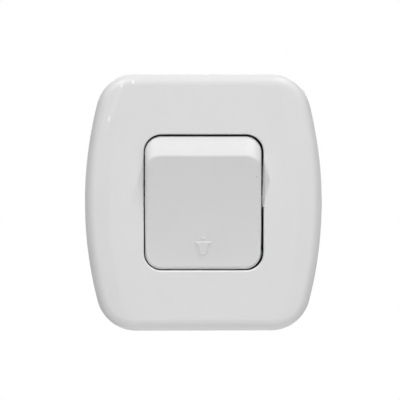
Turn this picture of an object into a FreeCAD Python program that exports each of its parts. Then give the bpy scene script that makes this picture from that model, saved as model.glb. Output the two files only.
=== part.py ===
import FreeCAD, Part
import os
import re
import Sketcher

# Doorbell push button: a rocker key in the window of a clip-on cover, over a base screwed to the wall.
# The wall is the plane Y = 0 and the push faces -Y, so a depth here is a distance out from the wall.
# X is to the right seen from the front, Z is up, and the origin is the middle of the base's back.

doc = FreeCAD.newDocument("doorbell_push")

# Driving sizes, in millimetres and degrees

SIZES = {
    # Cover, seen from the front
    "cover_width": 60,
    "cover_height": 65,
    "side_radius": 100,        # the long bulging arc of each side
    "corner_radius": 10.1,
    # Cover, in depth
    "cover_depth": 18,         # wall to the flat front
    "rim_gap": 0.3,            # wall to the cover's rim
    "wall": 2,
    "plate_thickness": 2,
    "edge_round": 3.1,
    "side_band": 6.3,          # width of the sloping band along each side
    "side_slope": 8,
    "crease_radius": 6,
    # Window for the key
    "window_width": 30.15,
    "window_height": 34.3,
    "window_corner": 4.5,
    "window_round": 0.4,
    # Snap hooks of the cover and the pry notch
    "hook_offset": 12,
    "hook_width": 7,
    "hook_reach": 0.8,
    "hook_height": 0.9,
    "hook_tip": 0.3,           # thickness of a hook at its tip
    "pry_width": 8,
    "pry_height": 1.2,
    # Rocker key
    "key_side_gap": 0.45,
    "key_shift": 0.15,         # how far the key sits to the left of the window's middle
    "key_top_gap": 0.5,        # the upper end swings up a little on its way in
    "key_foot_gap": 0.3,
    "key_corner": 4.1,
    "key_wall": 1.5,
    "key_skin": 2.2,
    "key_skirt": 4.5,          # front of the cover to the back edge of the key
    "key_round": 0.8,
    "bevel_angle": 34.8,
    "bevel_sink": 0.6,         # front of the cover to the foot of the bevel
    "foot_sink": 1.1,          # lower end of the face, behind the front of the cover
    "crest_rise": 3.74,        # where the hollow face would reach the key's upper end
    "face_radius": 300,        # hollow of the face
    "crest_corner": 3.8,
    "crest_draft": 0.35,
    # Pivot of the key
    "pivot_setback": 5,
    "press_angle": 7,
    "trunnion_radius": 1.5,
    "trunnion_length": 2.1,
    "trunnion_chamfer": 0.4,
    "lobe_radius": 2.6,
    "bearing_clearance": 0.06,
    "cheek_gap": 0.3,
    "cheek_thickness": 2,
    "cheek_half_height": 3.9,
    "cheek_corner": 1.5,
    "ramp_start": 0.9,         # depth of the ramp that spreads the cheeks, at their front
    "ramp_end": 0.3,
    "cheek_headroom": 0.3,
    # Base
    "base_gap": 0.3,
    "base_floor": 2.5,
    "base_rim": 3,             # height of the rim above the floor
    "base_rim_wall": 1.2,
    "ledge_thickness": 1.5,    # wall to the ledge that the hooks catch
    "ledge_clearance": 0.1,
    "notch_play": 0.5,
    "slot_setback": 8,         # end of the cover to the middle of a slot
    "slot_width": 4.2,
    "slot_length": 7,
    "slot_pad": 2,
    "slot_pad_height": 0.8,
    "wire_radius": 4,
    "wire_wall": 4,            # lower slot to the wire hole
    "boss_inset": 3.6,         # outside of a cheek to a boss
    "boss_z": 13.3,
    "boss_radius": 2.6,
    "boss_height": 2,
    # Mechanism body
    "body_thickness": 4,
    "body_play": 0.1,
    "body_top": 18.2,
    "body_waist": 8,           # lower end of the block, where its two rails begin
    "rail_end": 17.6,
    "rail_inside": 8.5,
    "body_corner": 1.2,
    "wing_gap": 0.3,           # rim of the base to the ends of the wings
    "wing_half_height": 4.8,
    "fence_height": 2.4,
    "fence_thickness": 0.9,
    "post_inset": 3.4,         # boss to the middle of a rest post
    "post_width": 2.6,
    "post_depth": 2.8,
    "post_overhang": 0.3,
    "press_post_inset": 5.4,
    "stop_gap": 0.1,
    # Contacts
    "terminal_setback": 0.4,   # end of a wing to its clamp plate and strip
    "strip_thickness": 0.8,
    "strip_width": 3.6,
    "strip_inner_end": 3.3,
    "tab_width": 6.4,
    "tab_length": 7,
    "tab_corner": 0.6,
    "rivet_x": 5.2,
    "rivet_radius": 1.3,
    "rivet_crown": 0.75,
    "rivet_shank": 0.7,
    "rivet_play": 0.03,
    "closed_gap": 0.08,
    "bridge_room": 0.3,        # bridge to the return spring above it
    "bridge_half_length": 7,
    "bridge_width": 4,
    "bridge_thickness": 0.8,
    "bridge_end_radius": 1.2,
    "pin_radius": 1,
    "pin_tail": 0.7,
    "pin_play": 0.08,
    "pin_boss_radius": 2.2,
    "retainer_radius": 1.8,
    "retainer_thickness": 0.4,
    "contact_spring_length": 3.4,
    "contact_spring_radius": 1.45,
    "contact_wire": 0.15,
    "contact_pitch": 0.85,
    # Return spring
    "spring_room": 0.25,       # upper wall of the key to the return spring
    "spring_radius": 2.15,
    "spring_wire": 0.22,
    "spring_pitch": 1.6,
    "spring_play": 0.35,
    "spring_pocket": 2,
    "seat_radius": 3,
    "seat_setback": 2.6,       # front of the cover to the spring's seat under the key
    "spigot_radius": 1.5,
    "spigot_length": 1.6,
    # Terminal screws, nuts and clamp plates
    "terminal_screw_radius": 1.4,
    "terminal_head_radius": 2.75,
    "terminal_head_height": 1.8,
    "terminal_screw_length": 4.2,
    "nut_width": 5.5,
    "nut_thickness": 1.8,
    "clamp_width": 7,
    "clamp_thickness": 1,
    "clamp_chamfer": 1,
    "clamp_hollow": 0.6,       # radius of the two hollows that grip the wire
    "clamp_hollow_x": 2.4,
    "thread_play": 0.05,
    "screw_play": 0.2,
    "driver_slot_width": 0.8,
    "driver_slot_depth": 0.9,
    "head_round": 0.6,
    "tip_chamfer": 0.4,
    # Screws of the mechanism body
    "body_screw_radius": 1.05,
    "body_head_radius": 2.1,
    "body_head_height": 1.4,
    "body_screw_length": 5.4,
}

# Places worked out from the sizes, each from those above it

PLACES = {
    "half_width": "cover_width / 2",
    "half_height": "cover_height / 2",
    "side_centre": "half_width - side_radius",
    "corner_z": "half_height - corner_radius",
    "corner_reach": "side_radius - corner_radius",
    "corner_x": "side_centre + sqrt(corner_reach ^ 2 - corner_z ^ 2)",
    "lean_x": "(corner_x - side_centre) / corner_reach",
    "lean_z": "corner_z / corner_reach",
    "plate_back": "cover_depth - plate_thickness",
    "slope_rate": "tan(side_slope * 1 deg)",
    "window_half_width": "window_width / 2",
    "window_half_height": "window_height / 2",
    "base_inset": "wall + base_gap",
    "key_half_width": "window_half_width - key_side_gap",
    "key_top": "window_half_height - key_top_gap",
    "key_foot": "window_half_height - key_foot_gap",
    "skirt_back": "cover_depth - key_skirt",
    "foot_depth": "cover_depth - foot_sink",
    "crest_depth": "cover_depth + crest_rise",
    "bevel_foot": "cover_depth - bevel_sink",
    "bevel_rate": "tan(bevel_angle * 1 deg)",
    "crest_z": "key_top - (crest_depth - bevel_foot) / bevel_rate",
    "face_rate": "(crest_depth - foot_depth) / (key_top + key_foot)",
    "ceiling_foot": "foot_depth - key_skin + key_wall * face_rate",
    "ceiling_bevel": "bevel_foot - key_skin / cos(bevel_angle * 1 deg)",
    "ceiling_apex_z": "(ceiling_bevel + key_top * bevel_rate - key_foot * face_rate - foot_depth + key_skin)"
                      " / (face_rate + bevel_rate)",
    "ceiling_apex": "ceiling_bevel + (key_top - ceiling_apex_z) * bevel_rate",
    "pivot_depth": "cover_depth - pivot_setback",
    "press_sine": "sin(press_angle * 1 deg)",
    "press_cosine": "cos(press_angle * 1 deg)",
    "cheek_inside": "key_half_width + cheek_gap",
    "cheek_outside": "cheek_inside + cheek_thickness",
    "boss_x": "cheek_outside - boss_inset",
    "post_x": "boss_x - post_inset",
    "press_post_x": "boss_x - press_post_inset",
    "slot_z": "half_height - slot_setback",
    "wire_drop": "slot_z - slot_length / 2 - wire_wall - wire_radius",
    "spring_z": "key_top - key_wall - spring_radius - spring_wire - spring_room",
    "bridge_z": "spring_z - spring_radius - spring_wire - bridge_room - bridge_width / 2",
    "cheek_front": "plate_back - cheek_headroom",
    "body_front": "base_floor + body_thickness",
    "strip_back": "body_front - strip_thickness",
    "rest_post_front": "skirt_back - stop_gap",
    "press_post_front": "pivot_depth + (skirt_back - pivot_depth) * press_cosine"
                        " - key_top * press_sine - stop_gap",
    "crown_sphere": "(rivet_radius ^ 2 + rivet_crown ^ 2) / (2 * rivet_crown)",
    "fixed_crown": "body_front + rivet_crown",
    "moving_centre": "pivot_depth + (fixed_crown + closed_gap + crown_sphere - pivot_depth"
                     " + bridge_z * press_sine) / press_cosine",
    "moving_crown": "moving_centre - crown_sphere",
    "fixed_rivet_z": "bridge_z * press_cosine + (moving_centre - pivot_depth) * press_sine",
    "terminal_z": "fixed_rivet_z",
    "rim_inside": "side_radius - base_inset - base_rim_wall",
    "wing_reach": "side_centre + sqrt(rim_inside ^ 2 - (terminal_z + wing_half_height) ^ 2) - wing_gap",
    "terminal_x": "wing_reach - terminal_setback - max(clamp_width; tab_length) / 2",
    "bridge_back": "moving_crown + rivet_crown",
    "bridge_front": "bridge_back + bridge_thickness",
    "pin_shoulder": "bridge_front + contact_spring_length",
    "pin_end": "bridge_back - pin_tail",
    "seat_depth": "cover_depth - seat_setback",
    "pocket_floor": "body_front - spring_pocket",
    "clamp_front": "body_front + clamp_thickness",
    "nut_back": "strip_back - nut_thickness",
}


def make_sheet(name, cells):
    """A spreadsheet with one named cell on each row."""
    sheet = doc.addObject("Spreadsheet::Sheet", name)
    for row, (alias, content) in enumerate(cells.items(), start=1):
        sheet.set("A%d" % row, alias)
        sheet.set("B%d" % row, content)
        sheet.setAlias("B%d" % row, alias)
    doc.recompute()
    return sheet


def full_names(formula):
    """The formula with each size and place written with the name of its sheet."""

    def with_sheet(match):
        word = match.group(0)
        if word in SIZES:
            return "Sizes." + word
        if word in PLACES:
            return "Places." + word
        return word

    return re.sub(r"[A-Za-z_]+", with_sheet, formula)


sizes = make_sheet("Sizes", {alias: "%.6g" % size for alias, size in SIZES.items()})
places = make_sheet("Places", {alias: "=" + full_names(formula) for alias, formula in PLACES.items()})


def value(formula):
    return float(sizes.evalExpression(full_names(formula)))


def bind(thing, prop, formula):
    thing.setExpression(prop, full_names(formula))


# Sketches and features

PLANES = {"front": "XZ_Plane", "side": "YZ_Plane", "top": "XY_Plane"}
OVERLAP = 1          # how far a cut runs past the face it opens, and a post starts inside its carrier, mm
SWEEP_MARGIN = 12    # how much further a side's band turns than the side is high, degrees
TOUCHING = 1e-3      # places this near each other are the same, mm
NEARLY_ONE = 0.99    # least cosine between directions that count as the same
HAIR = 1e-6          # a length that can't be seen, mm


def below(formula):
    return "(%s) - %g" % (formula, OVERLAP)


def above(formula):
    return "(%s) + %g" % (formula, OVERLAP)


def new_body(label):
    body = doc.addObject("PartDesign::Body", label)
    body.Label = label
    return body


def place(body, along_x, along_y, along_z):
    bind(body, "Placement.Base.x", along_x)
    bind(body, "Placement.Base.y", along_y)
    bind(body, "Placement.Base.z", along_z)


def origin_feature(body, role):
    return next(feature for feature in body.Origin.OriginFeatures if feature.Role == role)


def pin_height(sketch, index, end, formula):
    """Holds one end of an edge, or a centre, at a height in its sketch."""
    number = sketch.addConstraint(Sketcher.Constraint("DistanceY", -1, 1, index, end, value(formula)))
    bind(sketch, "Constraints[%d]" % number, formula)


def pin_point(sketch, index, end, point):
    number = sketch.addConstraint(Sketcher.Constraint("DistanceX", -1, 1, index, end, value(point[0])))
    bind(sketch, "Constraints[%d]" % number, point[0])
    pin_height(sketch, index, end, point[1])


def pin_radius(sketch, index, formula):
    number = sketch.addConstraint(Sketcher.Constraint("Radius", index, value(formula)))
    bind(sketch, "Constraints[%d]" % number, formula)


def arc_between(start, end, radius, clockwise):
    """The shorter arc of this radius from start to end."""
    chord = end - start
    rise = max(radius ** 2 - chord.Length ** 2 / 4, 0) ** 0.5
    across = FreeCAD.Vector(-chord.y, chord.x, 0).normalize()
    if clockwise:
        across = -across
    centre = (start + end) / 2 + across * rise
    middle = centre + ((start + end) / 2 - centre - across * HAIR).normalize() * radius
    return Part.Arc(start, middle, end)


def add_loop(sketch, steps):
    """Closed loop of steps (u, v), or (u, v, radius) where an arc leads to the next step.

    Loops run counter-clockwise. A fourth item "in" makes the arc a hollow one, and "half" says that it is
    half a circle over a level chord."""
    first = sketch.GeometryCount
    corners = [FreeCAD.Vector(value(step[0]), value(step[1]), 0) for step in steps]
    ends = []
    for number, step in enumerate(steps):
        start = corners[number]
        end = corners[(number + 1) % len(steps)]
        hollow = "in" in step
        if len(step) == 2:
            sketch.addGeometry(Part.LineSegment(start, end))
        else:
            sketch.addGeometry(arc_between(start, end, value(step[2]), hollow))
        ends.append((2, 1) if hollow else (1, 2))
    for number, step in enumerate(steps):
        here = first + number
        after = (number + 1) % len(steps)
        joint = Sketcher.Constraint("Coincident", here, ends[number][1], first + after, ends[after][0])
        sketch.addConstraint(joint)
        pin_point(sketch, here, ends[number][0], step[:2])
        if "half" in step:
            pin_height(sketch, here, 3, step[1])
        elif len(step) > 2:
            pin_radius(sketch, here, step[2])


def add_circle(sketch, circle):
    along, up, radius = circle
    centre = FreeCAD.Vector(value(along), value(up), 0)
    index = sketch.addGeometry(Part.Circle(centre, FreeCAD.Vector(0, 0, 1), value(radius)))
    pin_point(sketch, index, 3, (along, up))
    pin_radius(sketch, index, radius)


def draw(body, name, plane, offset, outlines):
    """A sketch on one of the body's planes, moved along its normal; lists are loops, tuples are circles."""
    sketch = body.newObject("Sketcher::SketchObject", name)
    sketch.AttachmentSupport = [(origin_feature(body, PLANES[plane]), "")]
    sketch.MapMode = "FlatFace"
    bind(sketch, "AttachmentOffset.Base.z", offset)
    for outline in outlines:
        if isinstance(outline, tuple):
            add_circle(sketch, outline)
        else:
            add_loop(sketch, outline)
    return sketch


def settle(feature):
    """Recomputes, and stops with the feature's name if it failed."""
    doc.recompute()
    if "Invalid" in feature.State or "Error" in feature.State:
        raise RuntimeError("%s failed: %s" % (feature.Name, feature.getStatusString()))
    return feature


def grow(body, name, plane, start, end, *outlines):
    """Adds a prism from start to end along the plane's normal: out from the wall, to the right, or up."""
    sketch = draw(body, name + "_sketch", plane, start, outlines)
    pad = body.newObject("PartDesign::Pad", name)
    pad.Profile = sketch
    bind(pad, "Length", "%s - (%s)" % (end, start))
    return settle(pad)


def cut(body, name, plane, start, end, *outlines, may_miss=False):
    """Takes away a prism from start to end along the plane's normal.

    A cut that may miss is room for a piece that reaches this one at some sizes only."""
    before = body.Shape.Volume
    sketch = draw(body, name + "_sketch", plane, end, outlines)
    pocket = body.newObject("PartDesign::Pocket", name)
    pocket.Profile = sketch
    bind(pocket, "Length", "%s - (%s)" % (end, start))
    settle(pocket)
    if not may_miss and body.Shape.Volume > before - TOUCHING:
        raise RuntimeError(name + " takes nothing away")
    return pocket


def soften(body, name, kind, size, chosen):
    """Fillets or chamfers the edges of the body that the test picks."""
    edges = ["Edge%d" % number for number, edge in enumerate(body.Shape.Edges, start=1) if chosen(edge)]
    if not edges:
        raise RuntimeError(name + " finds no edge")
    feature = body.newObject("PartDesign::" + kind, name)
    feature.Base = (feature.BaseFeature, edges)
    bind(feature, {"Fillet": "Radius", "Chamfer": "Size"}[kind], size)
    return settle(feature)


def round_edges(body, name, radius, chosen):
    return soften(body, name, "Fillet", radius, chosen)


def turn(body, name, *steps):
    """Turns a half section (distance from the axis, distance along Y) about the body's own Y axis."""
    sketch = draw(body, name + "_sketch", "top", "0", [list(steps)])
    revolution = body.newObject("PartDesign::Revolution", name)
    revolution.Profile = sketch
    revolution.ReferenceAxis = (sketch, ["V_Axis"])
    revolution.Angle = 360
    return settle(revolution)


def is_upright(edge):
    """Whether an edge stands straight out from the wall."""
    return abs(edge.tangentAt((edge.FirstParameter + edge.LastParameter) / 2).y) > NEARLY_ONE


def middle_of(edge):
    return edge.valueAt((edge.FirstParameter + edge.LastParameter) / 2)


def depth_of(point):
    return -point.y


# Outlines that more than one piece uses

def rectangle(left, right, low, high):
    return [(left, low), (right, low), (right, high), (left, high)]


def rounded(half_width, low, high, radius, top_radius=None):
    """A rounded rectangle about the middle line; its upper corners may have a radius of their own."""
    top = top_radius or radius
    return [
        ("-(%s) + (%s)" % (half_width, radius), low),
        ("%s - (%s)" % (half_width, radius), low, radius),
        (half_width, "%s + (%s)" % (low, radius)),
        (half_width, "%s - (%s)" % (high, top), top),
        ("%s - (%s)" % (half_width, top), high),
        ("-(%s) + (%s)" % (half_width, top), high, top),
        ("-(%s)" % half_width, "%s - (%s)" % (high, top)),
        ("-(%s)" % half_width, "%s + (%s)" % (low, radius), radius),
    ]


def reflect(outline, which):
    """The same outline with its first (0) or second (1) coordinates turned about."""
    if isinstance(outline, tuple):
        centre = list(outline[:2])
        centre[which] = "-(%s)" % centre[which]
        return tuple(centre) + outline[2:]
    points = [list(step[:2]) for step in outline]
    for point in points:
        point[which] = "-(%s)" % point[which]
    arcs = [step[2:] for step in outline]
    return [tuple(points[number]) + arcs[number - 1] for number in range(len(outline) - 1, -1, -1)]


def mirror(outline):
    """The same outline on the other side of the middle line."""
    return reflect(outline, 0)


def both(outline):
    return outline, mirror(outline)


def slot(along, up, half_width, half_length):
    """An upright slot with round ends."""
    straight = "(%s - (%s))" % (half_length, half_width)
    return [
        ("%s + %s" % (along, half_width), "%s - %s" % (up, straight)),
        ("%s + %s" % (along, half_width), "%s + %s" % (up, straight), half_width, "half"),
        ("%s - %s" % (along, half_width), "%s + %s" % (up, straight)),
        ("%s - %s" % (along, half_width), "%s - %s" % (up, straight), half_width, "half"),
    ]


def square(along, up, half):
    return rectangle("%s - (%s)" % (along, half), "%s + (%s)" % (along, half),
                     "%s - (%s)" % (up, half), "%s + (%s)" % (up, half))


def cover_outline(inset):
    """Straight top and bottom, long arcs at the sides and tangent corner arcs, drawn in by an inset."""
    side = "side_centre + (side_radius - (%s)) * lean_x" % inset
    up = "(side_radius - (%s)) * lean_z" % inset
    top = "half_height - (%s)" % inset
    long_arc = "side_radius - (%s)" % inset
    corner_arc = "corner_radius - (%s)" % inset
    return [
        (side, "-(%s)" % up, long_arc),
        (side, up, corner_arc),
        ("corner_x", top),
        ("-corner_x", top, corner_arc),
        ("-(%s)" % side, up, long_arc),
        ("-(%s)" % side, "-(%s)" % up, corner_arc),
        ("-corner_x", "-(%s)" % top),
        ("corner_x", "-(%s)" % top, corner_arc),
    ]


def is_side_wall(face):
    low_u, high_u, low_v, high_v = face.ParameterRange
    return abs(face.normalAt((low_u + high_u) / 2, (low_v + high_v) / 2).y) < HAIR


def front_edges(body, back):
    """A test that picks the edges where the side walls of a form meet its front."""
    around = [edge for face in body.Shape.Faces if is_side_wall(face) for edge in face.Edges]

    def chosen(edge):
        on_wall = any(edge.isSame(other) for other in around)
        return on_wall and not is_upright(edge) and depth_of(middle_of(edge)) > back + TOUCHING

    return chosen


def sloping_band(body, name, front, inset, side):
    """Slopes the front away along one side, behind a soft crease that runs parallel to the side's arc."""
    start = "half_width - side_band - (%s) * tan(side_slope * 0.5 deg)" % inset
    crease = "(crease_radius - (%s))" % inset
    tangent = "%s * tan(side_slope * 0.5 deg)" % crease
    beyond = above("half_width")
    steps = [
        ("%s - %s" % (start, tangent), "-(%s)" % front),
        ("%s - %s" % (start, tangent), below("-(%s)" % front)),
        (beyond, below("-(%s)" % front)),
        (beyond, "-(%s) + (%s - (%s)) * slope_rate" % (front, beyond, start)),
        ("%s + %s * cos(side_slope * 1 deg)" % (start, tangent),
         "-(%s) + %s * sin(side_slope * 1 deg)" % (front, tangent), crease, "in"),
    ]
    axis_x = "side_centre"
    if side == "left":
        steps = mirror(steps)
        axis_x = "-side_centre"
    sketch = draw(body, name + "_sketch", "top", "0", [steps])
    back = FreeCAD.Vector(value(axis_x), 0, 0)
    axis = sketch.addGeometry(Part.LineSegment(back, back - FreeCAD.Vector(0, value("cover_depth"), 0)), True)
    pin_point(sketch, axis, 1, (axis_x, "0"))
    pin_point(sketch, axis, 2, (axis_x, "-cover_depth"))
    groove = body.newObject("PartDesign::Groove", name)
    groove.Profile = sketch
    groove.ReferenceAxis = (sketch, ["Axis0"])
    groove.Midplane = True
    bind(groove, "Angle", "2 * asin(half_height / side_radius) + %g deg" % SWEEP_MARGIN)
    settle(groove)


def shallow_form(label, back, front, inset, edge_radius):
    """The cover's form: a plate with a sloping band along each side and one round all along its front."""
    body = new_body(label)
    grow(body, label + "_plate", "front", back, front, cover_outline(inset))
    for side in ("left", "right"):
        sloping_band(body, "%s_%s_band" % (label, side), front, inset, side)
    round_edges(body, label + "_edge", edge_radius, front_edges(body, value(back)))
    return body


# Cover: a moulded shell with a window, four snap hooks inside and a notch to pry it off

def make_cover():
    cover = shallow_form("cover", "rim_gap", "cover_depth", "0", "edge_round")
    core = shallow_form("cover_core", "0", "plate_back", "wall", "max(edge_round - wall; window_round)")
    hollow = cover.newObject("PartDesign::Boolean", "cover_hollow")
    hollow.Type = "Cut"
    hollow.addObject(core)
    settle(hollow)
    window = rounded("window_half_width", "-window_half_height", "window_half_height", "window_corner")
    cut(cover, "window", "front", below("plate_back"), above("cover_depth"), window)

    def at_window(edge):
        middle = middle_of(edge)
        level = abs(depth_of(middle) - value("cover_depth")) < TOUCHING
        narrow = abs(middle.x) < value("window_half_width") + TOUCHING
        low = abs(middle.z) < value("window_half_height") + TOUCHING
        return level and narrow and low

    round_edges(cover, "window_edge", "window_round", at_window)
    root = "(half_height - wall)"
    catch = "(ledge_thickness - ledge_clearance)"
    hook = [
        ("-%s" % catch, "%s + wall / 2" % root),
        ("-%s" % catch, "%s - hook_reach" % root),
        ("-%s + hook_tip" % catch, "%s - hook_reach" % root),
        ("-%s + hook_height" % catch, root),
        ("-%s + hook_height" % catch, "%s + wall / 2" % root),
    ]
    hooks = (hook, reflect(hook, 1))
    near = "hook_offset - hook_width / 2"
    far = "hook_offset + hook_width / 2"
    grow(cover, "right_hooks", "side", near, far, *hooks)
    grow(cover, "left_hooks", "side", "-(%s)" % far, "-(%s)" % near, *hooks)
    notch = rectangle("-pry_width / 2", "pry_width / 2", below("-half_height"), above("-half_height + wall"))
    cut(cover, "pry_notch", "front", below("rim_gap"), "rim_gap + pry_height", notch)
    return cover


# Base: a shallow tray with slots for the wall's screws, a hole for the wire and four bosses

SLOTS = {"upper": "slot_z", "lower": "-slot_z"}


def slot_pad(up, margin):
    return slot("0", up, "(slot_width / 2 + %s)" % margin, "(slot_length / 2 + %s)" % margin)


def make_base():
    base = new_body("base")
    floor = cover_outline("base_inset")
    grow(base, "base_plate", "front", "0", "base_floor", floor)
    rim_front = "base_floor + base_rim"
    inside = cover_outline("(base_inset + base_rim_wall)")
    grow(base, "base_edge", "front", "base_floor", rim_front, floor, inside)
    for name, up in SLOTS.items():
        pad = slot_pad(up, "slot_pad")
        grow(base, name + "_slot_pad", "front", "base_floor", "base_floor + slot_pad_height", pad)
        hole = slot("0", up, "slot_width / 2", "slot_length / 2")
        cut(base, name + "_slot", "front", below("0"), above("base_floor + slot_pad_height"), hole)
    cut(base, "wire_hole", "front", below("0"), above("base_floor"), ("0", "-wire_drop", "wire_radius"))
    bosses = [(x, z, "boss_radius") for x in ("boss_x", "-boss_x") for z in ("boss_z", "-boss_z")]
    grow(base, "bosses", "front", "base_floor", "base_floor + boss_height", *bosses)
    pilots = [(x, z, "body_screw_radius + thread_play") for x, z in BODY_SCREWS.values()]
    cut(base, "pilot_holes", "front", "body_front - body_screw_length - tip_chamfer",
        above("base_floor + boss_height"), *pilots)
    reach = "(hook_width / 2 + notch_play)"
    notch = rectangle("hook_offset - %s" % reach, "hook_offset + %s" % reach,
                      "half_height - wall - hook_reach - notch_play", "half_height")
    notches = both(notch) + both(reflect(notch, 1))
    cut(base, "hook_notches", "front", below("0"), "ledge_thickness", *notches)
    return base


# Mechanism body: the moulded block that carries the key, the springs and the contacts

BODY_SCREWS = {"upper": ("-boss_x", "boss_z"), "lower": ("boss_x", "-boss_z")}


def strip_outline(play):
    """A contact strip on the right: a narrow arm that widens into the tab of its terminal."""
    arm = "(strip_width / 2 + %s)" % play
    tab = "(tab_width / 2 + %s)" % play
    start = "strip_inner_end - %s" % play
    neck = "terminal_x - tab_length / 2 - %s" % play
    end = "terminal_x + tab_length / 2 + %s" % play
    return [
        (start, "terminal_z - %s" % arm),
        (neck, "terminal_z - %s" % arm),
        (neck, "terminal_z - %s" % tab),
        (end, "terminal_z - %s" % tab),
        (end, "terminal_z + %s" % tab),
        (neck, "terminal_z + %s" % tab),
        (neck, "terminal_z + %s" % arm),
        (start, "terminal_z + %s" % arm),
    ]


def make_mechanism_body():
    body = new_body("mechanism_body")
    right = [
        ("cheek_outside", "-rail_end"),
        ("cheek_outside", "terminal_z - wing_half_height"),
        ("wing_reach", "terminal_z - wing_half_height"),
        ("wing_reach", "terminal_z + wing_half_height"),
        ("cheek_outside", "terminal_z + wing_half_height"),
        ("cheek_outside", "body_top"),
    ]
    crotch = [("-rail_inside", "-rail_end"), ("-rail_inside", "-body_waist"), ("rail_inside", "-body_waist"),
              ("rail_inside", "-rail_end")]
    grow(body, "block", "front", "base_floor", "body_front", right + mirror(right) + crotch)
    round_edges(body, "block_corners", "body_corner", is_upright)

    cheek = [
        (above("-body_front"), "-cheek_half_height"),
        (above("-body_front"), "cheek_half_height"),
        ("-cheek_front + cheek_corner", "cheek_half_height", "cheek_corner"),
        ("-cheek_front", "cheek_half_height - cheek_corner"),
        ("-cheek_front", "-cheek_half_height + cheek_corner", "cheek_corner"),
        ("-cheek_front + cheek_corner", "-cheek_half_height"),
    ]
    ramp = [
        (below("cheek_inside"), "-pivot_depth"),
        (below("cheek_inside"), "-cheek_front - body_play"),
        ("cheek_inside + ramp_start", "-cheek_front - body_play"),
        ("cheek_inside + ramp_end", "-pivot_depth"),
    ]
    bearing = ("-pivot_depth", "0", "trunnion_radius + bearing_clearance")
    grow(body, "right_cheek", "side", "cheek_inside", "cheek_outside", cheek)
    grow(body, "left_cheek", "side", "-cheek_outside", "-cheek_inside", cheek)
    cut(body, "right_bearing", "side", below("cheek_inside"), above("cheek_outside"), bearing)
    cut(body, "left_bearing", "side", below("-cheek_outside"), above("-cheek_inside"), bearing)
    cut(body, "ramps", "top", "-trunnion_radius - bearing_clearance", "trunnion_radius + bearing_clearance",
        *both(ramp))

    rest_post = rectangle("post_x - post_width / 2", "post_x + post_width / 2",
                          "-key_foot - post_overhang", "-key_foot - post_overhang + post_depth")
    grow(body, "rest_posts", "front", "body_front", "rest_post_front", *both(rest_post))
    press_post = rectangle("press_post_x - post_width / 2", "press_post_x + post_width / 2",
                           "key_top + post_overhang - post_depth", "key_top + post_overhang")
    grow(body, "press_posts", "front", "body_front", "press_post_front", *both(press_post))
    fences = []
    for low, high in (("-wing_half_height", "-wing_half_height + fence_thickness"),
                      ("wing_half_height - fence_thickness", "wing_half_height")):
        fence = rectangle(below("cheek_outside"), "wing_reach",
                          "terminal_z + %s" % low, "terminal_z + %s" % high)
        fences.extend(both(fence))
    grow(body, "fences", "front", below("body_front"), "body_front + fence_height", *fences)

    cut(body, "strip_beds", "front", "strip_back", above("body_front"), *both(strip_outline("body_play")))
    nut_bed = square("terminal_x", "terminal_z", "nut_width / 2 + body_play")
    cut(body, "nut_beds", "front", "nut_back", "strip_back + body_play", *both(nut_bed))
    tail = ("terminal_x", "terminal_z", "terminal_screw_radius + 2 * screw_play")
    cut(body, "screw_tails", "front", "0", "nut_back + body_play", *both(tail))
    pocket = ("0", "spring_z", "spring_radius + spring_wire + spring_play")
    cut(body, "spring_bed", "front", "pocket_floor", above("body_front"), pocket)
    recesses = [(x, z, "boss_radius + body_play")
                for x in ("boss_x", "-boss_x") for z in ("boss_z", "-boss_z")]
    cut(body, "boss_recesses", "front", "0", "base_floor + boss_height + body_play", *recesses)
    pads = [slot_pad(up, "slot_pad + body_play") for up in SLOTS.values()]
    cut(body, "pad_recesses", "front", "0", "base_floor + slot_pad_height + body_play", *pads, may_miss=True)
    holes = [(x, z, "body_screw_radius + screw_play") for x, z in BODY_SCREWS.values()]
    cut(body, "screw_holes", "front", "0", above("body_front"), *holes)
    return body


# Rocker key: a hollow moulding, bevelled at its upper end, with a hollow face that falls towards its foot

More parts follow.
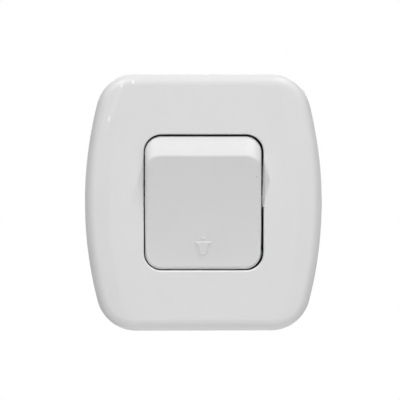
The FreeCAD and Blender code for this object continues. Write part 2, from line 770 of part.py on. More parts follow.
def make_key():
    key = new_body("rocker_key")
    low = "-key_foot"
    foot = rounded("key_half_width", low, "key_top", "key_corner")
    crest = rounded("(key_half_width - crest_draft)", low, "crest_z", "key_corner", "crest_corner")
    grow(key, "skirt", "front", "skirt_back", "bevel_foot", foot)
    lower = draw(key, "head_foot_sketch", "front", "bevel_foot", [foot])
    upper = draw(key, "head_crest_sketch", "front", "crest_depth", [crest])
    head = key.newObject("PartDesign::AdditiveLoft", "head")
    head.Profile = lower
    head.Sections = [upper]
    head.Ruled = True
    settle(head)
    face = [
        ("-foot_depth", "-key_foot", "face_radius"),
        ("-crest_depth", "key_top"),
        (below("-crest_depth"), "key_top"),
        (below("-crest_depth"), below("-key_foot")),
        ("-foot_depth", below("-key_foot")),
    ]
    cut(key, "face", "side", below("-key_half_width"), above("key_half_width"), face)

    def is_face(side):
        surface = side.Surface
        return isinstance(surface, Part.Cylinder) and abs(surface.Radius - value("face_radius")) < TOUCHING

    rim = [edge for side in key.Shape.Faces if is_face(side) for edge in side.Edges]
    round_edges(key, "face_edge", "key_round", lambda edge: any(edge.isSame(other) for other in rim))

    cavity = [
        (above("-skirt_back"), "-key_foot + key_wall"),
        (above("-skirt_back"), "key_top - key_wall"),
        ("-ceiling_bevel - key_wall * bevel_rate", "key_top - key_wall"),
        ("-ceiling_apex", "ceiling_apex_z"),
        ("-ceiling_foot", "-key_foot + key_wall"),
    ]
    cut(key, "cavity", "side", "-key_half_width + key_wall", "key_half_width - key_wall", cavity)

    def cavity_corner(edge):
        off_wall = abs(middle_of(edge).x) - value("key_half_width - key_wall")
        return is_upright(edge) and abs(off_wall) < TOUCHING

    round_edges(key, "cavity_corners", "key_corner - key_wall", cavity_corner)
    ceiling = "foot_depth - key_skin + (bridge_z + key_foot) * face_rate"
    boss = ("0", "bridge_z", "pin_boss_radius")
    grow(key, "pin_boss", "front", "pin_shoulder", ceiling + " + key_wall / 2", boss)
    grow(key, "pin", "front", "pin_end", "pin_shoulder", ("0", "bridge_z", "pin_radius"))
    grow(key, "seat", "front", "seat_depth", "bevel_foot", ("0", "spring_z", "seat_radius"))
    spigot = ("0", "spring_z", "spigot_radius")
    grow(key, "spigot", "front", "seat_depth - spigot_length", "seat_depth", spigot)
    lobe = ("-pivot_depth", "0", "lobe_radius")
    trunnion = ("-pivot_depth", "0", "trunnion_radius")
    inside = "key_half_width - key_wall"
    end = "key_half_width + trunnion_length"
    grow(key, "right_lobe", "side", inside, "key_half_width", lobe)
    grow(key, "left_lobe", "side", "-key_half_width", "-(%s)" % inside, lobe)
    grow(key, "right_trunnion", "side", "key_half_width", end, trunnion)
    grow(key, "left_trunnion", "side", "-(%s)" % end, "-key_half_width", trunnion)
    soften(key, "trunnion_ends", "Chamfer", "trunnion_chamfer",
           lambda edge: abs(abs(middle_of(edge).x) - value(end)) < TOUCHING)
    place(key, "-key_shift", "0", "0")
    return key


# Contacts: two fixed strips, a bridge on the key's pin, and a riveted tip on each

def make_strip(side):
    strip = new_body("fixed_contact_" + side)
    outline = strip_outline("0")
    holes = [("rivet_x", "fixed_rivet_z", "rivet_shank + rivet_play"),
             ("terminal_x", "terminal_z", "terminal_screw_radius + screw_play")]
    if side == "left":
        outline = mirror(outline)
        holes = [mirror(hole) for hole in holes]
    grow(strip, side + "_strip", "front", "strip_back", "body_front", outline)
    neck = value("terminal_x - tab_length / 2")
    round_edges(strip, side + "_strip_corners", "tab_corner",
                lambda edge: is_upright(edge) and abs(abs(middle_of(edge).x) - neck) > TOUCHING)
    cut(strip, side + "_strip_holes", "front", below("strip_back"), above("body_front"), *holes)
    return strip


def make_tip(label, along, depth, up, shank, towards_wall):
    """A rivet with a crowned head, its shank through the brass that carries it."""
    tip = new_body(label)
    steps = [("0", "-rivet_crown", "crown_sphere"), ("rivet_radius", "0"), ("rivet_shank", "0"),
             ("rivet_shank", shank), ("0", shank)]
    if towards_wall:
        steps = reflect(steps, 1)
    turn(tip, label + "_turned", *steps)
    place(tip, along, "-(%s)" % depth, up)
    return tip


def make_bridge():
    bridge = new_body("contact_bridge")
    outline = rounded("bridge_half_length", "bridge_z - bridge_width / 2", "bridge_z + bridge_width / 2",
                      "bridge_end_radius")
    grow(bridge, "bridge_bar", "front", "bridge_back", "bridge_front", outline)
    rivet = ("rivet_x", "bridge_z", "rivet_shank + rivet_play")
    cut(bridge, "bridge_holes", "front", below("bridge_back"), above("bridge_front"),
        ("0", "bridge_z", "pin_radius + pin_play"), *both(rivet))
    place(bridge, "-key_shift", "0", "0")
    return bridge


def make_retainer():
    """The push-on washer that keeps the bridge on its pin."""
    retainer = new_body("bridge_retainer")
    grow(retainer, "washer", "front", "bridge_back - retainer_thickness", "bridge_back",
         ("0", "bridge_z", "retainer_radius"), ("0", "bridge_z", "pin_radius + rivet_play"))
    place(retainer, "-key_shift", "0", "0")
    return retainer


def make_coil(label, along, up, back, front, radius, wire, pitch):
    """A compression spring that stands out from the wall, from back to front."""
    coil = new_body(label)
    length = "(%s - (%s))" % (front, back)
    section = draw(coil, label + "_sketch", "top", "0", [(radius, "-%s + %s" % (length, wire), wire)])
    helix = coil.newObject("PartDesign::AdditiveHelix", label + "_turns")
    helix.Profile = section
    helix.ReferenceAxis = (section, ["V_Axis"])
    helix.Mode = "pitch-height-angle"
    bind(helix, "Pitch", pitch)
    bind(helix, "Height", "%s - 2 * (%s)" % (length, wire))
    settle(helix)
    place(coil, along, "-(%s)" % back, up)
    return coil


# Terminals: a screw, a square nut and a clamp plate on each strip

def make_screw(label, along, up, seat, head_radius, head_height, shank_radius, length):
    screw = new_body(label)
    turn(screw, label + "_turned",
         ("0", "-(%s)" % head_height),
         ("%s - head_round" % head_radius, "-(%s)" % head_height, "head_round"),
         (head_radius, "-(%s) + head_round" % head_height),
         (head_radius, "0"),
         (shank_radius, "0"),
         (shank_radius, "%s - tip_chamfer" % length),
         ("%s - tip_chamfer" % shank_radius, length),
         ("0", length))
    groove = rectangle(below("-(%s)" % head_radius), above(head_radius),
                       "-driver_slot_width / 2", "driver_slot_width / 2")
    cut(screw, label + "_slot", "front", "%s - driver_slot_depth" % head_height, above(head_height), groove)
    place(screw, along, "-(%s)" % seat, up)
    return screw


def make_nut(side, along):
    nut = new_body("terminal_nut_" + side)
    grow(nut, side + "_nut", "front", "0", "nut_thickness", square("0", "0", "nut_width / 2"),
         ("0", "0", "terminal_screw_radius + thread_play"))
    place(nut, along, "-nut_back", "terminal_z")
    return nut


def make_clamp(side, along):
    clamp = new_body("clamp_plate_" + side)
    half = "clamp_width / 2"
    grow(clamp, side + "_clamp", "front", "0", "clamp_thickness", square("0", "0", half))
    soften(clamp, side + "_clamp_corners", "Chamfer", "clamp_chamfer", is_upright)
    cut(clamp, side + "_clamp_hole", "front", below("0"), above("clamp_thickness"),
        ("0", "0", "terminal_screw_radius + screw_play"))
    hollow = ("clamp_hollow_x", "0", "clamp_hollow")
    cut(clamp, side + "_clamp_hollows", "top", below("-" + half), above(half), *both(hollow))
    place(clamp, along, "-body_front", "terminal_z")
    return clamp


def group(label, members):
    compound = doc.addObject("Part::Compound", label)
    compound.Label = label
    compound.Links = members
    return compound


SIDES = {"left": "-", "right": ""}

nodes = [make_cover(), make_base(), make_mechanism_body(), make_key(), make_bridge(), make_retainer()]
for side, sign in SIDES.items():
    nodes.append(make_strip(side))
    nodes.append(make_tip("fixed_tip_" + side, sign + "rivet_x", "body_front", "fixed_rivet_z",
                          "strip_thickness", False))
    nodes.append(make_tip("moving_tip_" + side, sign + "rivet_x - key_shift", "bridge_back", "bridge_z",
                          "bridge_thickness", True))
    nodes.append(make_clamp(side, sign + "terminal_x"))
nodes.append(make_coil("return_spring", "0", "spring_z", "pocket_floor", "seat_depth",
                       "spring_radius", "spring_wire", "spring_pitch"))
nodes.append(make_coil("contact_spring", "-key_shift", "bridge_z", "bridge_front", "pin_shoulder",
                       "contact_spring_radius", "contact_wire", "contact_pitch"))
nodes.append(group("terminal_screws", [
    make_screw("terminal_screw_" + side, sign + "terminal_x", "terminal_z", "clamp_front",
               "terminal_head_radius", "terminal_head_height", "terminal_screw_radius",
               "terminal_screw_length")
    for side, sign in SIDES.items()]))
nodes.append(group("terminal_nuts", [make_nut(side, sign + "terminal_x") for side, sign in SIDES.items()]))
nodes.append(group("mechanism_screws", [
    make_screw("mechanism_screw_" + name, along, up, "body_front", "body_head_radius", "body_head_height",
               "body_screw_radius", "body_screw_length")
    for name, (along, up) in BODY_SCREWS.items()]))

doc.recompute()
SOLIDS = {"terminal_screws": 2, "terminal_nuts": 2, "mechanism_screws": 2}
for thing in doc.Objects:
    if "Invalid" in thing.State or "Error" in thing.State:
        raise RuntimeError("%s failed: %s" % (thing.Name, thing.getStatusString()))
for node in nodes:
    shape = node.Shape
    if shape.isNull() or not shape.isValid():
        raise RuntimeError(node.Label + " has no valid shape")
    if len(shape.Solids) != SOLIDS.get(node.Label, 1):
        raise RuntimeError("%s has %d solids" % (node.Label, len(shape.Solids)))
os.makedirs("parts", exist_ok=True)
for node in nodes:
    node.Shape.exportStep("parts/%s.step" % node.Label)
    print("%-22s %9.2f mm3" % (node.Label, node.Shape.Volume))
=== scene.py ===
import math

import bmesh
import bpy
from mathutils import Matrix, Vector
from mathutils.bvhtree import BVHTree


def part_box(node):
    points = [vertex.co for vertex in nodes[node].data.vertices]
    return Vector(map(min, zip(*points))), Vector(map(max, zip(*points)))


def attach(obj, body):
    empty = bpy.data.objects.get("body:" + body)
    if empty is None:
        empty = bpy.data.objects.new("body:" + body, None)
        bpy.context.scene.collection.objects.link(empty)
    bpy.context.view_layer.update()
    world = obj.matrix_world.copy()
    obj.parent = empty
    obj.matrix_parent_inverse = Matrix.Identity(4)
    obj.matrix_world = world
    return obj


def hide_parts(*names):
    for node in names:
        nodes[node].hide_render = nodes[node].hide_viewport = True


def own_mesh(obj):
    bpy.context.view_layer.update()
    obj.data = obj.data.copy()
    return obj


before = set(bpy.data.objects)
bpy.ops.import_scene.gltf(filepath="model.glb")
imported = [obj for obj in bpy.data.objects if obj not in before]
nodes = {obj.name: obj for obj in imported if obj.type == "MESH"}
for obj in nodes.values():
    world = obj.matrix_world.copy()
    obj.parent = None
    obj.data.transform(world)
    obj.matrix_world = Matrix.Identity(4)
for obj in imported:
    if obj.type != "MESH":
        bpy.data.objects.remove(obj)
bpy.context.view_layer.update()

# A doorbell push. The frame's pieces get their finishes here. The scene adds the raised sign on the key,
# springs with closed ends, the threads of the screws and a thin flash of plastic at the window's edge.
# The push faces -Y, X is to the right and Z is up, in metres.

MM = 0.001
cover_low, cover_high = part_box("cover")
front = cover_low.y

# Places in the photograph, in its pixels, and the size of one of them at the cover's front

PHOTO_SIZE = 400
COVER_LEFT = 84.9
COVER_RIGHT = 322.2
COVER_MIDDLE = (203.55, 202.3)
CAMERA_DISTANCE = 0.4
EDGE_SETBACK = 3.1 * MM    # from the cover's front to its widest outline, behind the round
EDGE_SHRINK = CAMERA_DISTANCE / (CAMERA_DISTANCE + EDGE_SETBACK)
PIXEL = EDGE_SHRINK * (cover_high.x - cover_low.x) / (COVER_RIGHT - COVER_LEFT)


def at_pixel(across, down):
    """The x and z of a pixel of the photograph on the cover's front."""
    return (across - COVER_MIDDLE[0]) * PIXEL, (COVER_MIDDLE[1] - down) * PIXEL


# Camera: in front, a little to the left and above, aimed at the middle of the photograph's frame

CAMERA_LEFT = 0.007
CAMERA_ABOVE = 0.010
SENSOR_WIDTH = 36    # in millimetres, as Blender has it


def add_camera():
    data = bpy.data.cameras.new("camera")
    data.sensor_width = SENSOR_WIDTH
    data.lens = SENSOR_WIDTH * CAMERA_DISTANCE / (PHOTO_SIZE * PIXEL)
    camera = bpy.data.objects.new("camera", data)
    across, up = at_pixel(PHOTO_SIZE / 2, PHOTO_SIZE / 2)
    aim = Vector((across, front + EDGE_SETBACK, up))
    camera.location = aim + Vector((-CAMERA_LEFT, -CAMERA_DISTANCE - EDGE_SETBACK, CAMERA_ABOVE))
    camera.rotation_euler = (aim - camera.location).to_track_quat("-Z", "Y").to_euler()
    bpy.context.scene.collection.objects.link(camera)
    bpy.context.scene.camera = camera


# Light: three small lamps high up, whose shadows of the key the photograph shows, broad soft ones in front,
# below and low at both sides, and one behind for the back

LAMP_AIM = Vector((0, front, 0))
LAMPS = {
    # name: (direction towards the lamp, distance, radius, watts)
    "front_light": ((0.0, -1.0, 0.0), 1.2, 0.45, 1.2),
    "high_left": ((-3.2, -2.76, 5.2), 1.2, 0.035, 7.3),
    "high_right": ((2.8, -2.76, 5.5), 1.2, 0.03, 3.7),
    "high_far_right": ((4.5, -2.76, 11.0), 1.2, 0.025, 4.2),
    "low_light": ((0.0, -1.0, -1.19), 1.0, 0.35, 2.15),
    "low_right": ((0.9, -1.0, -0.9), 1.2, 0.35, 3.4),
    "low_left": ((-0.9, -1.0, -0.9), 1.2, 0.35, 1.1),
    "back_light": ((0.15, 1.0, 0.25), 1.2, 0.4, 8.0),
}
AMBIENT = 0.008


def add_lamp(name, direction, distance, radius, watts):
    data = bpy.data.lights.new(name, "AREA")
    data.shape = "DISK"
    data.size = 2 * radius
    data.energy = watts
    lamp = bpy.data.objects.new(name, data)
    towards = Vector(direction).normalized()
    lamp.location = LAMP_AIM + towards * distance
    lamp.rotation_euler = towards.to_track_quat("Z", "Y").to_euler()
    bpy.context.scene.collection.objects.link(lamp)


# Node trees

def new_material(name):
    """A material with its node tree and its shader."""
    material = bpy.data.materials.new(name)
    material.use_nodes = True
    return material, material.node_tree, material.node_tree.nodes["Principled BSDF"]


def link_all(tree, *pairs):
    for source, target in pairs:
        tree.links.new(source, target)


def operate(tree, kind, operation, *values):
    """A Math or VectorMath node on sockets and constants."""
    node = tree.nodes.new("ShaderNode" + kind)
    node.operation = operation
    for socket, value in zip(node.inputs, values):
        if isinstance(value, bpy.types.NodeSocket):
            tree.links.new(value, socket)
        else:
            socket.default_value = value
    return node


def white_to_lens(tree):
    """1 for rays from the lens, from gloss and through glass, which see plain white, and 0 for the others."""
    ray = tree.nodes.new("ShaderNodeLightPath").outputs
    first = operate(tree, "Math", "MAXIMUM", ray["Is Camera Ray"], ray["Is Glossy Ray"]).outputs[0]
    return operate(tree, "Math", "MAXIMUM", first, ray["Is Transmission Ray"]).outputs[0]


def white_light(tree, strength):
    node = tree.nodes.new("ShaderNodeBackground")
    node.inputs["Color"].default_value = (1, 1, 1, 1)
    node.inputs["Strength"].default_value = strength
    return node.outputs[0]


def make_world():
    """Plain white to the lens, and a faint light from all round on the push."""
    world = bpy.data.worlds.new("white_room")
    world.use_nodes = True
    tree = world.node_tree
    tree.nodes.clear()
    output = tree.nodes.new("ShaderNodeOutputWorld")
    mix = tree.nodes.new("ShaderNodeMixShader")
    link_all(tree, (white_to_lens(tree), mix.inputs["Fac"]), (white_light(tree, AMBIENT), mix.inputs[1]),
             (white_light(tree, 1), mix.inputs[2]), (mix.outputs[0], output.inputs["Surface"]))
    bpy.context.scene.world = world


FLOOR_DROP = 1.0
FLOOR_HALF = 5.0
FLOOR_GREY = 0.82
FLOOR_ROUGHNESS = 0.9
FLOOR_GLOW = 0.45    # what the lens sees of the floor beside its lit colour, so that it looks pale


def add_floor():
    """A plain pale floor well below the push, which the photograph's view doesn't reach."""
    mesh = bpy.data.meshes.new("floor")
    level = cover_low.z - FLOOR_DROP
    corners = ((-1, -1), (1, -1), (1, 1), (-1, 1))
    mesh.from_pydata([(x * FLOOR_HALF, y * FLOOR_HALF, level) for x, y in corners], [], [(0, 1, 2, 3)])
    floor = bpy.data.objects.new("floor", mesh)
    bpy.context.scene.collection.objects.link(floor)
    material, tree, shader = new_material("floor_paint")
    shader.inputs["Base Color"].default_value = (FLOOR_GREY, FLOOR_GREY, FLOOR_GREY, 1)
    shader.inputs["Roughness"].default_value = FLOOR_ROUGHNESS
    shader.inputs["Emission Color"].default_value = (1, 1, 1, 1)
    glow = operate(tree, "Math", "MULTIPLY", white_to_lens(tree), FLOOR_GLOW)
    tree.links.new(glow.outputs[0], shader.inputs["Emission Strength"])
    mesh.materials.append(material)


# Finishes

MIX_COLOURS = (6, 7)    # the sockets of a Mix node that take colours
MIX_RESULT = 2          # and the one that gives a colour
MARK_CORE = 0.4         # share of a mark's radius within which it is full
COLOUR_SPOTS = 90       # of plastic, to a metre
GLOSS_SPOTS = 2500
WAVES = 1400
PLASTIC_DARK = 0.985    # its darker spots, as a share of the colour
PLASTIC_GLOSS = (0.9, 1.1)    # from and to, as shares of the roughness
PLASTIC_IOR = 1.49
METAL_STAINS = 1 / 8    # spots of colour to one grain
METAL_PITS = 2          # spots of relief to one grain
METAL_DARK = 0.82
METAL_GLOSS = (0.75, 1.3)
METAL_RELIEF = 0.004 * MM


def noise(tree, place, scale, detail=3):
    """Soft random spots; scale is their number to a metre."""
    node = tree.nodes.new("ShaderNodeTexNoise")
    node.inputs["Scale"].default_value = scale
    node.inputs["Detail"].default_value = detail
    tree.links.new(place, node.inputs["Vector"])
    return node.outputs["Fac"]


def spread(tree, source, low, high, from_low=0.3, from_high=0.7):
    """The source stretched to run from low to high. Noise mostly lies between 0.3 and 0.7."""
    node = tree.nodes.new("ShaderNodeMapRange")
    node.inputs["From Min"].default_value = from_low
    node.inputs["From Max"].default_value = from_high
    node.inputs["To Min"].default_value = low
    node.inputs["To Max"].default_value = high
    tree.links.new(source, node.inputs["Value"])
    return node.outputs["Result"]


def blend_colours(tree, share, first, second):
    """A mix of two colours; first may be a socket."""
    node = tree.nodes.new("ShaderNodeMix")
    node.data_type = "RGBA"
    tree.links.new(share, node.inputs["Factor"])
    for number, colour in zip(MIX_COLOURS, (first, second)):
        if isinstance(colour, tuple):
            node.inputs[number].default_value = (*colour, 1)
        else:
            tree.links.new(colour, node.inputs[number])
    return node.outputs[MIX_RESULT]


def bump(tree, shader, height, depth):
    node = tree.nodes.new("ShaderNodeBump")
    node.inputs["Distance"].default_value = depth
    node.inputs["Strength"].default_value = 1
    link_all(tree, (height, node.inputs["Height"]), (node.outputs["Normal"], shader.inputs["Normal"]))


def spot(tree, place, centre, radius):
    """1 within a small round spot at a point, fading to 0 at its edge."""
    distance = operate(tree, "VectorMath", "DISTANCE", place, centre).outputs["Value"]
    return spread(tree, distance, 1, 0, radius * MARK_CORE, radius)


def streak(tree, place, start, end, radius):
    """1 within a narrow streak from start to end, fading to 0 at its edge."""
    along = end - start
    share_along = along / along.length_squared
    from_start = operate(tree, "VectorMath", "SUBTRACT", place, start).outputs["Vector"]
    reach = operate(tree, "VectorMath", "DOT_PRODUCT", from_start, share_along).outputs["Value"]
    nearest = operate(tree, "VectorMath", "SCALE", along)
    tree.links.new(spread(tree, reach, 0, 1, 0, 1), nearest.inputs["Scale"])
    aside = operate(tree, "VectorMath", "SUBTRACT", from_start, nearest.outputs["Vector"]).outputs["Vector"]
    distance = operate(tree, "VectorMath", "LENGTH", aside).outputs["Value"]
    return spread(tree, distance, 1, 0, radius * MARK_CORE, radius)


def plastic(name, colour, roughness, wave_depth, spots=(), painted_highlights=()):
    """Moulded plastic: nearly even in colour, with a faint waviness and a fine texture in its gloss.

    Small marks come as spots, a list of (centre, radius, colour), and painted highlights, stripes of lighter
    colour standing in for glints, a list of (start, end, radius, colour)."""
    material, tree, shader = new_material(name)
    place = tree.nodes.new("ShaderNodeTexCoord").outputs["Object"]
    darker = tuple(part * PLASTIC_DARK for part in colour)
    shade = blend_colours(tree, spread(tree, noise(tree, place, COLOUR_SPOTS), 0, 1), colour, darker)
    for centre, radius, mark in spots:
        shade = blend_colours(tree, spot(tree, place, centre, radius), shade, mark)
    # painted highlights: stripes of lighter colour standing in for the lamps' glints
    for start, end, radius, mark in painted_highlights:
        shade = blend_colours(tree, streak(tree, place, start, end, radius), shade, mark)
    smoothest, roughest = (roughness * share for share in PLASTIC_GLOSS)
    gloss = spread(tree, noise(tree, place, GLOSS_SPOTS, detail=2), smoothest, roughest)
    link_all(tree, (shade, shader.inputs["Base Color"]), (gloss, shader.inputs["Roughness"]))
    shader.inputs["IOR"].default_value = PLASTIC_IOR
    bump(tree, shader, noise(tree, place, WAVES, detail=2), wave_depth)
    return material


def metal(name, colour, roughness, grain):
    """Bare or plated metal; grain is the number of its spots of gloss to a metre."""
    material, tree, shader = new_material(name)
    place = tree.nodes.new("ShaderNodeTexCoord").outputs["Object"]
    dull = tuple(part * METAL_DARK for part in colour)
    shade = blend_colours(tree, spread(tree, noise(tree, place, grain * METAL_STAINS), 0, 1), colour, dull)
    smoothest, roughest = (roughness * share for share in METAL_GLOSS)
    gloss = spread(tree, noise(tree, place, grain), smoothest, roughest)
    link_all(tree, (shade, shader.inputs["Base Color"]), (gloss, shader.inputs["Roughness"]))
    shader.inputs["Metallic"].default_value = 1
    bump(tree, shader, noise(tree, place, grain * METAL_PITS), METAL_RELIEF)
    return material


def give(material, *pieces):
    """Puts one finish on every slot of these pieces."""
    for piece in pieces:
        if not piece.data.materials:
            piece.data.materials.append(material)
        for slot in piece.material_slots:
            slot.material = material


# Small marks on the photographed push, each at its pixel: specks in the plastic, and painted highlights on
# the cover's round, lighter colour where the lamps would glint and shine

KEY_SPECK = (256, 176.5)
SPECK_RADIUS = 0.28 * MM
SPECK_GREY = 0.56
COVER_MARKS = ((109, 181), (296.5, 112.8))
MARK_RADIUS = 0.45 * MM
MARK_GREY = 0.765
# Painted highlights: glints of the lamps and a faint sheen along the cover's round, painted into its colour
# as lighter stripes
PAINTED_HIGHLIGHTS = (
    # first and last pixel, radius in mm, grey
    ((133, 81.4), (133.2, 82.6), 0.42, 1.0),
    ((121.8, 84.6), (120.8, 87.8), 0.36, 1.0),
    ((110.0, 115.5), (108.2, 120.8), 0.36, 1.0),
    ((119.8, 89), (110.4, 114.5), 0.8, 0.822),
    ((107.8, 122), (106.2, 132), 0.5, 0.812),
    ((271.8, 81.6), (278.6, 76.6), 0.25, 0.835),
)
RAY_LEAD = 0.1    # how far before the cover's front a ray starts


def surface_of(node):
    """The node's mesh, ready to be met by rays."""
    return BVHTree.FromObject(nodes[node], bpy.context.evaluated_depsgraph_get())


def onto(surface, across, up):
    """The point where a ray from the front, at this x and z, meets a surface."""
    return surface.ray_cast(Vector((across, front - RAY_LEAD, up)), Vector((0, 1, 0)))[0]


cover_surface = surface_of("cover")
key_surface = surface_of("rocker_key")


def spots_on(surface, pixels, radius, grey):
    return [(onto(surface, *at_pixel(*pixel)), radius, (grey, grey, grey)) for pixel in pixels]


# The painted highlights, each laid on the cover's surface as a stripe of lighter colour where a lamp's glint
# or sheen would be
def painted_highlight_streaks():
    painted_highlights = []
    for first, last, radius, grey in PAINTED_HIGHLIGHTS:
        start, end = (onto(cover_surface, *at_pixel(*pixel)) for pixel in (first, last))
        painted_highlights.append((start, end, radius * MM, (grey, grey, grey)))
    return painted_highlights


PLASTICS = {
    # name: (colour, roughness, depth of its waves, pieces of the frame)
    "cover_plastic": ((0.80, 0.80, 0.80), 0.42, 0.006 * MM, ("cover",)),
    "key_plastic": ((0.76, 0.76, 0.76), 0.5, 0.006 * MM, ("rocker_key",)),
    "base_plastic": ((0.74, 0.74, 0.73), 0.5, 0.015 * MM, ("base",)),
    "body_plastic": ((0.06, 0.06, 0.065), 0.45, 0.012 * MM, ("mechanism_body",)),
}
METALS = {
    # name: (colour, roughness, grain, pieces of the frame)
    "brass": ((0.72, 0.56, 0.30), 0.28, 3000, ("contact_bridge",)),
    "dull_brass": ((0.34, 0.29, 0.21), 0.5, 3000, ("fixed_contact_left", "fixed_contact_right")),
    "silver": ((0.86, 0.85, 0.82), 0.25, 4000,
               ("fixed_tip_left", "fixed_tip_right", "moving_tip_left", "moving_tip_right")),
    "zinc_plate": ((0.66, 0.67, 0.68), 0.32, 2500,
                   ("clamp_plate_left", "clamp_plate_right", "terminal_screws", "terminal_nuts",
                    "mechanism_screws")),
    "spring_steel": ((0.52, 0.52, 0.52), 0.3, 5000, ("return_spring", "contact_spring", "bridge_retainer")),
}


def finish_frame():
    """Gives the frame's pieces their finishes, which it returns by name."""
    marks = {
        "cover_plastic": (spots_on(cover_surface, COVER_MARKS, MARK_RADIUS, MARK_GREY), painted_highlight_streaks()),
        "key_plastic": (spots_on(key_surface, [KEY_SPECK], SPECK_RADIUS, SPECK_GREY),),
    }
    finishes = {}
    for name, (colour, roughness, wave_depth, pieces) in PLASTICS.items():
        finishes[name] = plastic(name, colour, roughness, wave_depth, *marks.get(name, ()))
        give(finishes[name], *(nodes[piece] for piece in pieces))
    for name, (colour, roughness, grain, pieces) in METALS.items():
        finishes[name] = metal(name, colour, roughness, grain)
        give(finishes[name], *(nodes[piece] for piece in pieces))
    return finishes


# Shapes

def arc(centre, radius, start, end, steps):
    """Points of an arc, with its angles in degrees."""
    points = []
    for step in range(steps + 1):
        angle = math.radians(start + (end - start) * step / steps)
        points.append((centre[0] + radius * math.cos(angle), centre[1] + radius * math.sin(angle)))
    return points


def circle(radius, sides):
    return arc((0.0, 0.0), radius, 0, 360 - 360 / sides, sides - 1)


def skin(parts, rings):
    """Joins rings of vertices with faces and closes both ends."""
    count = len(rings[0])
    for low, high in zip(rings, rings[1:]):
        for number in range(count):
            after = (number + 1) % count
            parts.faces.new((low[number], low[after], high[after], high[number]))
    parts.faces.new(rings[-1])
    parts.faces.new(list(reversed(rings[0])))
    bmesh.ops.recalc_face_normals(parts, faces=parts.faces)


def mesh_of(name, *all_parts):
    """One mesh from several closed parts."""
    whole = bmesh.new()
    for parts in all_parts:
        piece = bpy.data.meshes.new("piece")
        parts.to_mesh(piece)
        parts.free()
        whole.from_mesh(piece)
        bpy.data.meshes.remove(piece)
    mesh = bpy.data.meshes.new(name)
    whole.to_mesh(mesh)
    whole.free()
    return mesh


def new_piece(name, mesh, material, body):
    piece = bpy.data.objects.new(name, mesh)
    bpy.context.scene.collection.objects.link(piece)
    for face in mesh.polygons:
        face.use_smooth = True
    give(material, piece)
    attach(piece, body)
    return piece


# The raised sign on the key: a cup with a flared rim and a small round drop above it, all in millimetres from
# the sign's middle

SIGN_MIDDLE = (202.9, 246.3)    # its pixel
SIGN_HEIGHT = 0.24
SIGN_EDGE = 0.14    # width of the cup's slope
SOFT_SIDES = 1.2    # how much wider that is at its sides
SOFT_TOP = 0.8      # and at its upper edges
RIM_HALF = 2.08
RIM_TOP = 1.26
RIM_CORNER = (0.14, 0.2)    # across and down
FLARE_TOP = 0.72
FLARE_HEIGHT = 0.95
FLARE_POWER = 2.2
FLARE_STEPS = 8
NECK_HALF = 1.22
FOOT_HALF = 1.05
FOOT_LOW = -2.04
FOOT_CORNER = 0.6
CORNER_STEPS = 6
FOOT_BULGE = 0.12
WALL_END = (0.02, 0.15)    # out from the foot's half and up from its corner
CUP_RINGS = (
    # drawn in by, lift; the first is buried in the key
    (-0.05, -0.04),
    (0, 0),
    (0.35 * SIGN_EDGE, 0.7 * SIGN_HEIGHT),
    (SIGN_EDGE, SIGN_HEIGHT),
    (1.4 * SIGN_EDGE, SIGN_HEIGHT),
)
DROP_MIDDLE = (0.02, 2.14)
DROP_HALVES = (0.4, 0.3)
DROP_LEAN = 0.13    # how far its summit stands below its middle
DROP_SIDES = 24
DROP_SINK = 0.05
DROP_TILTS = (0, 15, 30, 45, 60, 75, 86)


def cup_outline():
    """The cup's closed outline, as points across and up."""
    right = [(RIM_HALF, RIM_TOP - RIM_CORNER[1])]
    for step in range(FLARE_STEPS + 1):
        share = step / FLARE_STEPS
        half = NECK_HALF + (RIM_HALF - NECK_HALF) * (1 - share) ** FLARE_POWER
        right.append((half, FLARE_TOP - FLARE_HEIGHT * share))
    corner_up = FOOT_LOW + FOOT_CORNER
    right.append((FOOT_HALF + WALL_END[0], corner_up + WALL_END[1]))
    right += arc((FOOT_HALF - FOOT_CORNER, corner_up), FOOT_CORNER, 0, -90, CORNER_STEPS)
    right.append((0.0, FOOT_LOW - FOOT_BULGE))
    left = [(-across, up) for across, up in reversed(right[:-1])]
    top = [(-RIM_HALF + RIM_CORNER[0], RIM_TOP), (RIM_HALF - RIM_CORNER[0], RIM_TOP)]
    return right + left + top


def drawn_in(outline, distance):
    """A closed outline moved inwards, further at its sides and upper edges."""
    points = [Vector(point) for point in outline]
    count = len(points)
    moved = []
    for number in range(count):
        before = (points[number] - points[number - 1]).normalized()
        after = (points[(number + 1) % count] - points[number]).normalized()
        inward = (Vector((before.y, -before.x)) + Vector((after.y, -after.x))).normalized()
        width = 1 + SOFT_SIDES * abs(inward.x) + SOFT_TOP * max(0, -inward.y)
        moved.append(points[number] + inward * distance * width)
    return moved


def raised(rings):
    """A closed relief over the key's face from (outline, lift) rings."""
    middle_x, middle_z = at_pixel(*SIGN_MIDDLE)
    parts = bmesh.new()
    made = []
    for outline, lift in rings:
        ring = []
        for across, up in outline:
            on_face = onto(key_surface, middle_x + across * MM, middle_z + up * MM)
            ring.append(parts.verts.new(on_face + Vector((0, -lift * MM, 0))))
        made.append(ring)
    skin(parts, made)
    return mesh_of("relief", parts)


def drop_ring(tilt):
    """A ring of the drop's dome, tilt degrees up from its foot, and its lift."""
    shrink, rise = math.cos(math.radians(tilt)), math.sin(math.radians(tilt))
    ring = []
    for x, z in reversed(circle(1, DROP_SIDES)):
        across = DROP_MIDDLE[0] + DROP_HALVES[0] * shrink * x
        up = DROP_MIDDLE[1] + DROP_HALVES[1] * shrink * z - DROP_LEAN * rise
        ring.append((across, up))
    return ring, SIGN_HEIGHT * rise


def add_sign(material):
    cup = cup_outline()
    cup_rings = [(drawn_in(cup, inset), lift) for inset, lift in CUP_RINGS]
    new_piece("bell_sign_cup", raised(cup_rings), material, "key")
    drop_rings = [(drop_ring(0)[0], -DROP_SINK)] + [drop_ring(tilt) for tilt in DROP_TILTS]
    new_piece("bell_sign_drop", raised(drop_rings), material, "key")


# A thin flash of plastic along the upper right edge of the window, and the burr where it ends

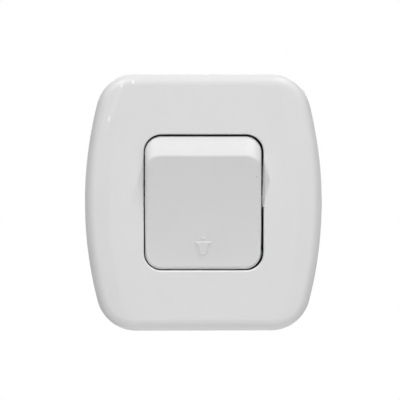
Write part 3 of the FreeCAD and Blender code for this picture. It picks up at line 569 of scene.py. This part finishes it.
FLASH_PIXELS = ((264, 158), (264, 205.5))    # its upper and lower end
FLASH_WIDTH = 0.35 * MM        # at its lower end
FLASH_TOP_WIDTH = 0.1 * MM
FLASH_ROOT = 0.1 * MM          # how far it reaches into the cover
FLASH_SETBACK = 0.5 * MM
FLASH_DEPTH = 0.8 * MM
WINDOW_EDGE = 15.075 * MM
BURR_PIXEL = (265, 206)
BURR_HALVES = (0.55 * MM, 0.14 * MM, 0.2 * MM)


def add_flash(material):
    top, bottom = (at_pixel(*pixel)[1] for pixel in FLASH_PIXELS)
    left, right = WINDOW_EDGE - FLASH_WIDTH, WINDOW_EDGE + FLASH_ROOT
    near, far = front + FLASH_SETBACK, front + FLASH_SETBACK + FLASH_DEPTH
    middle = Vector(((left + right) / 2, (near + far) / 2, (top + bottom) / 2))
    size = Vector((right - left, far - near, top - bottom))
    strip = bmesh.new()
    bmesh.ops.create_cube(strip, size=1)
    for corner in strip.verts:
        corner.co = middle + corner.co * size
        if corner.co.x < WINDOW_EDGE and corner.co.z > middle.z:
            corner.co.x = WINDOW_EDGE - FLASH_TOP_WIDTH
    burr = bmesh.new()
    bmesh.ops.create_icosphere(burr, subdivisions=3, radius=1)
    burr_middle = onto(cover_surface, *at_pixel(*BURR_PIXEL))
    for corner in burr.verts:
        corner.co = burr_middle + corner.co * Vector(BURR_HALVES)
    new_piece("window_flash", mesh_of("window_flash", strip, burr), material, "housing")


# Springs with closed ends

COIL_STEPS = 24     # to a turn
WIRE_SIDES = 8
CLOSED_RISE = 1.04    # of a closed turn, in thicknesses of its wire
RETURN_WIRE = 0.22 * MM    # radius
RETURN_TURNS = 6           # between the closed ones
CONTACT_WIRE = 0.15 * MM
CONTACT_TURNS = 3


def swept(section, radius, height_at, turns, foot):
    """A section of (outward, forward) points swept along a helix that stands on foot, towards the front."""
    parts = bmesh.new()
    rings = []
    steps = round(turns * COIL_STEPS)
    for step in range(steps + 1):
        turn = turns * step / steps
        angle = 2 * math.pi * turn
        ring = []
        for outward, forward in section:
            reach = radius + outward
            offset = Vector((reach * math.cos(angle), -height_at(turn) - forward, reach * math.sin(angle)))
            ring.append(parts.verts.new(foot + offset))
        rings.append(ring)
    skin(parts, rings)
    return parts


def closed_spring(node, wire, free_turns, material, body):
    """Stands for a plain coil of the frame: the same seats and width, with a closed turn at each end."""
    low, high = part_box(node)
    radius = (high.x - low.x) / 2 - wire
    length = high.y - low.y
    foot = Vector(((low.x + high.x) / 2, high.y, (low.z + high.z) / 2))
    closed_rise = 2 * wire * CLOSED_RISE
    free_rise = (length - 2 * wire - 2 * closed_rise) / free_turns
    turns = free_turns + 2

    def height_at(turn):
        first = min(turn, 1)
        last = max(turn - turns + 1, 0)
        return wire + closed_rise * (first + last) + free_rise * (turn - first - last)

    coil = swept(circle(wire, WIRE_SIDES), radius, height_at, turns, foot)
    spring = new_piece(node + "_closed", mesh_of(node, coil), material, body)
    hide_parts(node)
    return spring


def add_springs(material):
    spring = closed_spring("return_spring", RETURN_WIRE, RETURN_TURNS, material, "housing")
    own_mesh(spring)
    closed_spring("contact_spring", CONTACT_WIRE, CONTACT_TURNS, material, "key")


# The threads of the screws

TERMINAL_HEAD = (2.75 * MM, 1.8 * MM)      # radius, height
TERMINAL_SHANK = 1.4 * MM                  # radius
TERMINAL_THREAD = (0.5 * MM, 0.1 * MM)     # pitch, depth
BODY_HEAD = (2.1 * MM, 1.4 * MM)
BODY_SHANK = 1.05 * MM
BODY_THREAD = (0.8 * MM, 0.15 * MM)
RIDGE_FOOT = 0.42    # half of a ridge's foot, as a share of the pitch
RIDGE_SINK = 0.2     # how far the foot is sunk in the shank, as a share of the depth


def add_thread(name, node, centres, head_height, shank_radius, thread, material):
    """A helical ridge round each of a node's shanks, from under its head to near its tip."""
    pitch, depth = thread
    low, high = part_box(node)
    length = high.y - low.y - head_height - pitch
    foot_y = high.y - pitch / 2
    half_foot = pitch * RIDGE_FOOT
    section = [(-depth * RIDGE_SINK, -half_foot), (depth, 0), (-depth * RIDGE_SINK, half_foot)]
    ridges = [swept(section, shank_radius, lambda turn: pitch * turn, length / pitch, Vector((x, foot_y, z)))
              for x, z in centres]
    new_piece(name, mesh_of(name, *ridges), material, "housing")


def add_threads(material):
    low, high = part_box("terminal_screws")
    middle_z = (low.z + high.z) / 2
    reach = high.x - TERMINAL_HEAD[0]
    add_thread("terminal_screw_threads", "terminal_screws", [(-reach, middle_z), (reach, middle_z)],
               TERMINAL_HEAD[1], TERMINAL_SHANK, TERMINAL_THREAD, material)
    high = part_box("mechanism_screws")[1]
    reach_x, reach_z = high.x - BODY_HEAD[0], high.z - BODY_HEAD[0]
    add_thread("mechanism_screw_threads", "mechanism_screws", [(-reach_x, reach_z), (reach_x, -reach_z)],
               BODY_HEAD[1], BODY_SHANK, BODY_THREAD, material)


add_camera()
make_world()
add_floor()
for lamp_name, lamp_values in LAMPS.items():
    add_lamp(lamp_name, *lamp_values)
finishes = finish_frame()
add_sign(finishes["key_plastic"])
add_flash(finishes["cover_plastic"])
add_springs(finishes["spring_steel"])
add_threads(finishes["zinc_plate"])

bpy.context.scene.view_settings.view_transform = "Standard"
